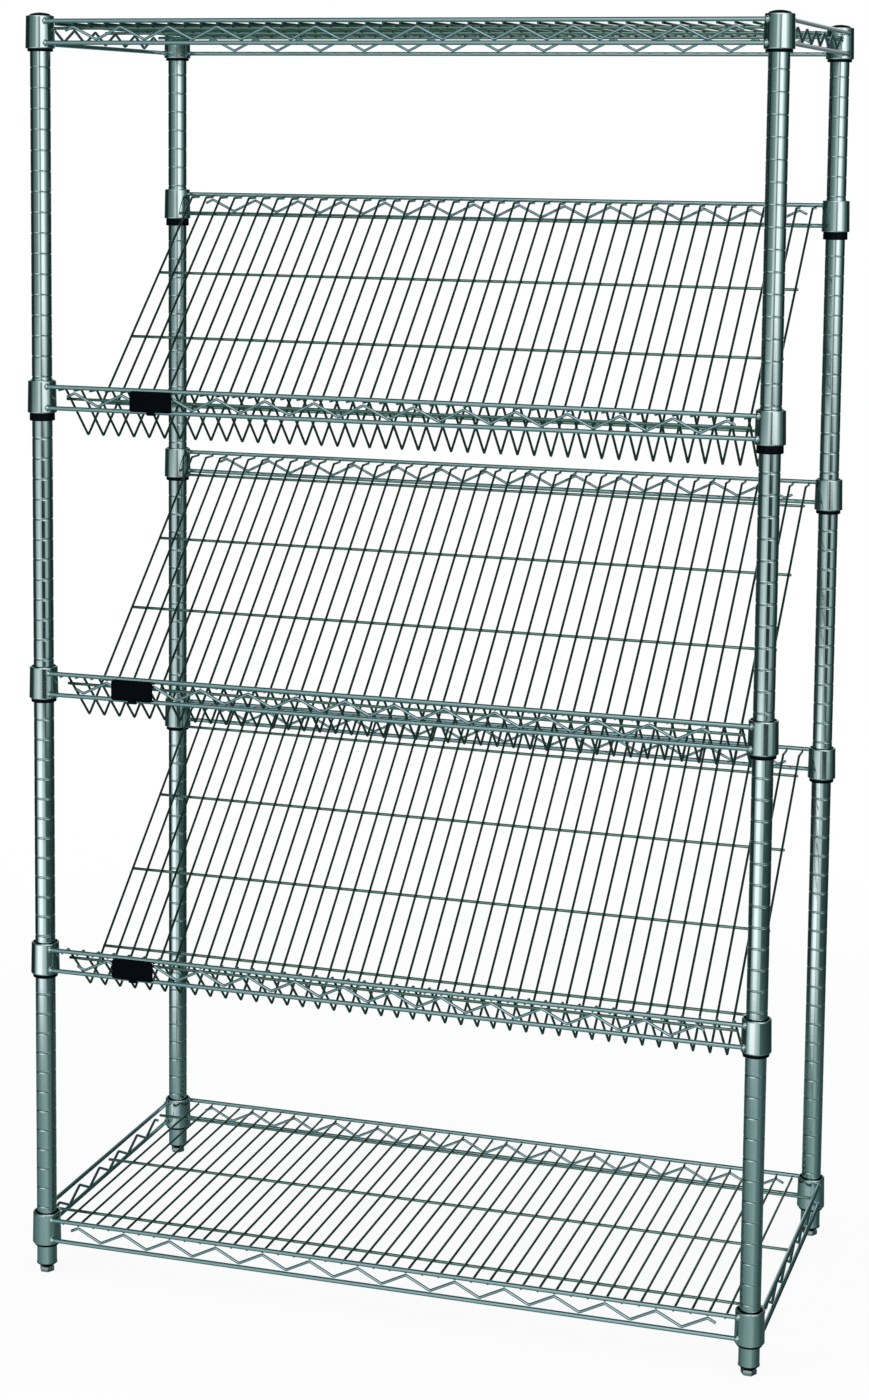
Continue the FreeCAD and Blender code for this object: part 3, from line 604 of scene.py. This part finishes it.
def truss(surface, uppers, low_at_start, point):
    """A zigzag wire whose upper bends are at the given places along a rail line."""
    half = (uppers[1] - uppers[0]) / 2
    free = TRUSS_FREE_END
    drop = (TRUSS_HIGH - TRUSS_LOW) / half * free
    if low_at_start:
        first = uppers[0] - half
        line = [(first - free, TRUSS_LOW + drop), (first, TRUSS_LOW)]
    else:
        line = [(uppers[0] - free, TRUSS_HIGH - drop)]
    for s in uppers[:-1]:
        line += [(s, TRUSS_HIGH), (s + half, TRUSS_LOW)]
    line += [(uppers[-1], TRUSS_HIGH), (uppers[-1] + free, TRUSS_HIGH - drop)]
    corners = [point(s, h, TRUSS_INSET) for s, h in line]
    tube(surface, rounded_path(corners, TRUSS_BEND_R, 6), TRUSS_R)


def make_trusses(shelf, z0, rise, first, low_at_start):
    uppers = [wire_x(i) for i in range(first, WIRES, WIRES_PER_BEND)]
    for word, side, lift in (("front", -1, 0.0), ("rear", 1, rise)):
        surface = Surface()
        truss(surface, uppers, low_at_start, long_point(side, z0 + lift))
        place(surface.build(f"{shelf}_{word}_zigzag", DRAWN), shelf,
              [f"{shelf}_{word}_truss"], TRUSS)


def make_side_trusses(shelf, z0):
    pitch = WIRES_PER_BEND * WIRE_PITCH
    uppers = [(i - (SIDE_BENDS - 1) / 2) * pitch for i in range(SIDE_BENDS)]
    surface = Surface()
    for side in (-1, 1):
        truss(surface, uppers, False, end_point(side, z0))
    place(surface.build(f"{shelf}_side_zigzags", DRAWN), shelf,
          [f"{shelf}_side_trusses"], TRUSS)


# ------------------------------------------------------------------ decks and trays


def make_ties(shelf, middles, reach):
    """The cross wires: straight ones along the rack, through the given middles."""
    surface = Surface()
    for middle in middles:
        x = Vector((reach, 0, 0))
        tube(surface, straight(middle - x, middle + x, 12), CROSS_R)
    place(surface.build(f"{shelf}_ties", DRAWN), shelf, [f"{shelf}_cross_wires"], CROSS)


def make_flat_deck(shelf, z0):
    level = z0 + DECK_LEVEL
    end = LINE_Y - DECK_INSET
    surface = Surface()
    for i in range(WIRES):
        x = wire_x(i)
        tube(surface, straight((x, -end, level), (x, end, level), 10), DECK_R)
    place(surface.build(f"{shelf}_deck", DRAWN), shelf, [f"{shelf}_deck_wires"], WIRE)
    under = level - DECK_R - CROSS_R + BITE
    make_ties(shelf, [Vector((0, y, under)) for y in CROSS_Y], LINE_X - CROSS_END_GAP)


def make_tray_wires(shelf, z0, rise):
    """Bent wires from the front hook down to the fold and up the slope to the rear hook."""
    end = LINE_Y - DECK_INSET
    low, high = z0 + DECK_LEVEL, z0 + DECK_LEVEL + rise
    corners = [
        Vector((0, -end, low)),
        Vector((0, FRONT_HOOK - LINE_Y, low)),
        Vector((0, FOLD_INSET - LINE_Y, z0 + TOP_RAIL - FOLD_DEPTH)),
        Vector((0, LINE_Y - REAR_HOOK, high)),
        Vector((0, end, high)),
    ]
    line = rounded_path(corners, FOLD_R, 8)
    surface = Surface()
    for i in range(WIRES):
        shift = Vector((wire_x(i), 0, 0))
        tube(surface, [p + shift for p in line], DECK_R)
    place(surface.build(f"{shelf}_bent_wires", DRAWN), shelf, [f"{shelf}_wires"], WIRE)
    _, hook, fold, upper, _ = corners
    leg = (fold - hook).normalized()
    slope = (upper - fold).normalized()
    stand = DECK_R + CROSS_R - BITE
    under_leg = Vector((0, leg.z, -leg.y)) * stand
    under_slope = Vector((0, slope.z, -slope.y)) * stand
    middles = [hook + leg * LEG_TIE + under_leg]
    middles += [fold + slope * along + under_slope for along in SLOPE_TIES]
    middles.append(upper - slope * LAST_TIE + under_slope)
    make_ties(shelf, middles, wire_x(WIRES - 1) + DECK_R + CROSS_OVERHANG)


def plate_ring(inset):
    """The label plate's rounded outline, moved inwards by the inset, as (x, z) pairs."""
    radius = max(PLATE_CORNER_R - inset, PLATE_LEAST_R)
    ring = []
    for side_x, side_z, first in ((1, 1, 0), (-1, 1, 90), (-1, -1, 180), (1, -1, 270)):
        x = side_x * (PLATE_HALF_W - inset - radius)
        z = side_z * (PLATE_HALF_H - inset - radius)
        for k in range(7):
            a = math.radians(first + 15 * k)
            ring.append((x + radius * math.cos(a), z + radius * math.sin(a)))
    return ring


def make_label(shelf, z0):
    """A blank plate with rounded corners and a raised rim, and a clip under the low rail."""
    node = f"{shelf}_label_holder"
    low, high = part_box(node)
    middle_x = (low.x + high.x) / 2 / MM
    front = low.y / MM
    rail = z0 + LOW_RAIL
    surface = Surface()
    surface.stack([
        [(middle_x + x, front + depth, rail + PLATE_HALF_H + z) for x, z in plate_ring(inset)]
        for inset, depth in PLATE_LAYERS
    ])
    surface.stack([
        [(middle_x + x, y - LINE_Y, rail + z) for y, z in CLIP_OUTLINE]
        for x in (-CLIP_HALF_LENGTH, CLIP_HALF_LENGTH)
    ])
    place(surface.build(f"{shelf}_label_plate", MOULDED), shelf, [node], LABEL)


SEEDS = dict(zip(FLAT_SHELVES + TRAYS, range(0, 200, 40)))
for shelf in FLAT_SHELVES:
    z0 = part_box(f"{shelf}_collars")[0].z / MM
    make_sleeves(shelf, z0, 0.0, SEAT, 0.0)
    make_collars(shelf, z0, 0.0)
    make_rails(shelf, z0, 0.0, SEEDS[shelf])
    make_side_rails(shelf, z0, SEEDS[shelf])
    make_trusses(shelf, z0, 0.0, 1, False)
    make_side_trusses(shelf, z0)
    make_flat_deck(shelf, z0)
for shelf in TRAYS:
    low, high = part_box(f"{shelf}_collars")
    z0 = low.z / MM
    rise = high.z / MM - COLLAR_HEIGHT - z0
    upper = shelf == "upper_tray"
    make_sleeves(shelf, z0, rise, UPPER_SEAT if upper else SEAT, TRAY_SKIRT)
    make_collars(shelf, z0, rise)
    make_rails(shelf, z0, rise, SEEDS[shelf])
    make_trusses(shelf, z0, rise, 1 if upper else 3, not upper)
    make_tray_wires(shelf, z0, rise)
    make_label(shelf, z0)


# ------------------------------------------------------------------ camera

FRAME_HEIGHT = 1400
FOCAL_LENGTH = 2704.5  # in pixels of the frame
SENSOR = 36.0
CAMERA_AT = (1.0095, -3.2648, 1.4667)
CAMERA_ANGLES = (-17.393, -6.148, -0.563)

yaw, pitch, roll = (math.radians(a) for a in CAMERA_ANGLES)
ahead = (math.sin(yaw) * math.cos(pitch), math.cos(yaw) * math.cos(pitch), math.sin(pitch))
forward = Vector(ahead)
right = Vector((math.cos(yaw), -math.sin(yaw), 0))
down = forward.cross(right)
right, down = (
    right * math.cos(roll) + down * math.sin(roll),
    down * math.cos(roll) - right * math.sin(roll),
)
camera_data = bpy.data.cameras.new("camera")
camera_data.lens = SENSOR * FOCAL_LENGTH / FRAME_HEIGHT
camera_data.sensor_width = SENSOR
camera_data.shift_y = -0.2
camera_data.clip_end = 100.0
camera = bpy.data.objects.new("camera", camera_data)
bpy.context.scene.collection.objects.link(camera)
turn = Matrix((right, -down, -forward)).transposed()
camera.matrix_world = Matrix.Translation(CAMERA_AT) @ turn.to_4x4()
bpy.context.scene.camera = camera

# ------------------------------------------------------------------ floor


def calculated(tree, operation, *values):
    node = add_node(tree, "Math", dict(enumerate(values)), operation=operation)
    return node.outputs["Value"]


def rising(tree, value, low, high, least=0.0):
    """The least below low, 1 above high, and a smooth rise between them."""
    node = add_node(
        tree, "MapRange",
        {"Value": value, "From Min": low, "From Max": high, "To Min": least},
        interpolation_type="SMOOTHSTEP",
    )
    return node.outputs["Result"]


def mixed(tree, share, first, second):
    """The first shader where the share is 0 and the second where it is 1."""
    return add_node(tree, "MixShader", {0: share, 1: first, 2: second}).outputs["Shader"]


SPAN = 30.0
WHITE = (1, 1, 1, 1)

# the camera sees the floor as white, with a faint shadow left near the rack only
material = bpy.data.materials.new("floor")
material.use_nodes = True
tree = material.node_tree
tree.nodes.clear()
matte = add_node(tree, "BsdfDiffuse", {"Color": (0.86, 0.87, 0.87, 1)}).outputs["BSDF"]
glow = add_node(tree, "Emission", {"Color": WHITE, "Strength": 1.0}).outputs["Emission"]
here = add_node(tree, "NewGeometry").outputs["Position"]
distance = add_node(tree, "VectorMath", {0: here}, operation="LENGTH").outputs["Value"]
seen = add_node(tree, "LightPath").outputs["Is Camera Ray"]
share = calculated(tree, "MULTIPLY", seen, rising(tree, distance, 0.9, 2.6, 0.90))
add_node(tree, "OutputMaterial", {"Surface": mixed(tree, share, matte, glow)})

floor_mesh = bpy.data.meshes.new("floor")
corners = [(-SPAN, -SPAN, 0), (SPAN, -SPAN, 0), (SPAN, SPAN, 0), (-SPAN, SPAN, 0)]
floor_mesh.from_pydata(corners, [], [(0, 1, 2, 3)])
floor_mesh.materials.append(material)
floor = bpy.data.objects.new("floor", floor_mesh)
bpy.context.scene.collection.objects.link(floor)
floor.visible_glossy = False

# ------------------------------------------------------------------ world

# what the plated steel mirrors, at five heights around it, as (share of a turn, brightness):
# 0 and 1 are behind the rack as the camera sees it, and 0.5 is the camera's own side
FLOOR_BAND = (
    (0.00, 0.25), (0.12, 0.14), (0.30, 0.30), (0.42, 0.42), (0.52, 0.50), (0.62, 0.24),
    (0.75, 0.10), (0.88, 0.10), (1.00, 0.25),
)
LOW_BAND = (
    (0.00, 0.40), (0.06, 0.25), (0.12, 0.02), (0.24, 0.03), (0.31, 0.80), (0.355, 1.60),
    (0.43, 1.60), (0.47, 0.95), (0.53, 0.70), (0.565, 0.14), (0.65, 0.08), (0.88, 0.02),
    (0.94, 0.25), (1.00, 0.40),
)
MIDDLE_BAND = (
    (0.00, 0.40), (0.06, 0.25), (0.12, 0.03), (0.25, 0.06), (0.33, 0.70), (0.41, 1.00),
    (0.465, 0.70), (0.50, 0.03), (0.565, 0.03), (0.605, 0.62), (0.65, 0.66), (0.70, 0.20),
    (0.80, 0.03), (0.91, 0.05), (1.00, 0.40),
)
LEVEL_BAND = (
    (0.00, 1.20), (0.04, 1.00), (0.09, 0.05), (0.23, 0.02), (0.31, 0.22), (0.41, 0.42),
    (0.455, 1.10), (0.485, 0.70), (0.505, 0.20), (0.54, 1.60), (0.60, 1.55), (0.655, 0.70),
    (0.71, 0.20), (0.80, 0.02), (0.91, 0.05), (0.96, 1.00), (1.00, 1.20),
)
HIGH_BAND = (
    (0.00, 0.14), (0.24, 0.08), (0.36, 0.60), (0.43, 1.40), (0.50, 1.60), (0.58, 1.10),
    (0.68, 0.30), (0.80, 0.08), (1.00, 0.14),
)
# the heights, as the sine of the elevation, between which one band changes into the next
BAND_CHANGES = (
    (-0.335, -0.295, LOW_BAND),
    (-0.235, -0.195, MIDDLE_BAND),
    (-0.13, -0.05, LEVEL_BAND),
    (0.15, 0.40, HIGH_BAND),
)
OVERHEAD_FROM, OVERHEAD_TO, OVERHEAD = 0.68, 0.90, 0.12
BRIGHTEST = 1.6
WHITE_FROM = 1.1
DARK_TINT = (0.50, 1.0, 0.94)
CAMERA_SIDE = math.radians(-73)

world = bpy.data.worlds.new("studio")
bpy.context.scene.world = world
world.use_nodes = True
tree = world.node_tree
tree.nodes.clear()
direction = add_node(tree, "TexCoord").outputs["Generated"]
split = add_node(tree, "SeparateXYZ", {"Vector": direction}).outputs
azimuth = calculated(tree, "ARCTAN2", split["Y"], split["X"])
azimuth = calculated(tree, "ADD", azimuth, math.pi + FULL_TURN - CAMERA_SIDE)
azimuth = calculated(tree, "FRACT", calculated(tree, "DIVIDE", azimuth, FULL_TURN))


def tinted(level):
    """Dark parts of the studio are greenish and its bright parts are white."""
    white = min(level / WHITE_FROM, 1.0)
    return [level / BRIGHTEST * (c + (1 - c) * white) for c in DARK_TINT] + [1]


def band(levels):
    node = add_node(tree, "ValToRGB", {"Fac": azimuth})
    ramp = node.color_ramp
    ramp.interpolation = "EASE"
    while len(ramp.elements) < len(levels):
        ramp.elements.new(0.5)
    for element, (at, level) in zip(ramp.elements, levels):
        element.position = at
        element.color = tinted(level)
    return node.outputs["Color"]


def blend(share, first, second):
    """The first colour where the share is 0 and the second where it is 1."""
    factor, color_a, color_b, color = 0, 6, 7, 2
    node = add_node(
        tree, "Mix", {factor: share, color_a: first, color_b: second}, data_type="RGBA"
    )
    return node.outputs[color]


studio = band(FLOOR_BAND)
for low, high, levels in BAND_CHANGES:
    studio = blend(rising(tree, split["Z"], low, high), studio, band(levels))
overhead = rising(tree, split["Z"], OVERHEAD_FROM, OVERHEAD_TO)
studio = blend(overhead, studio, tinted(OVERHEAD))

# the bands are mirrored only: other light is an even grey, and the background is white
mirrored = add_node(tree, "Background", {"Color": studio, "Strength": BRIGHTEST})
even = add_node(tree, "Background", {"Color": (0.80, 0.82, 0.83, 1)})
behind = add_node(tree, "Background", {"Color": WHITE})
rays = add_node(tree, "LightPath").outputs
mirroring = calculated(tree, "MAXIMUM", rays["Is Glossy Ray"], rays["Is Transmission Ray"])
light = mixed(tree, mirroring, even.outputs[0], mirrored.outputs[0])
light = mixed(tree, rays["Is Camera Ray"], light, behind.outputs[0])
add_node(tree, "OutputWorld", {"Surface": light})

# ------------------------------------------------------------------ lamps

LAMPS_AIM = Vector((0, 0, 0.8))


def softbox(name, at, width, height, power):
    light = bpy.data.lights.new(name, "AREA")
    light.shape = "RECTANGLE"
    light.size = width
    light.size_y = height
    light.energy = power
    item = bpy.data.objects.new(name, light)
    bpy.context.scene.collection.objects.link(item)
    item.location = at
    item.rotation_euler = (LAMPS_AIM - Vector(at)).to_track_quat("-Z", "Y").to_euler()
    item.visible_camera = False
    item.visible_glossy = False


softbox("key", (-2.2, -2.6, 3.2), 1.6, 1.6, 36)
softbox("fill", (2.6, -1.6, 2.2), 1.4, 2.0, 16)

bpy.context.scene.view_settings.view_transform = "Standard"
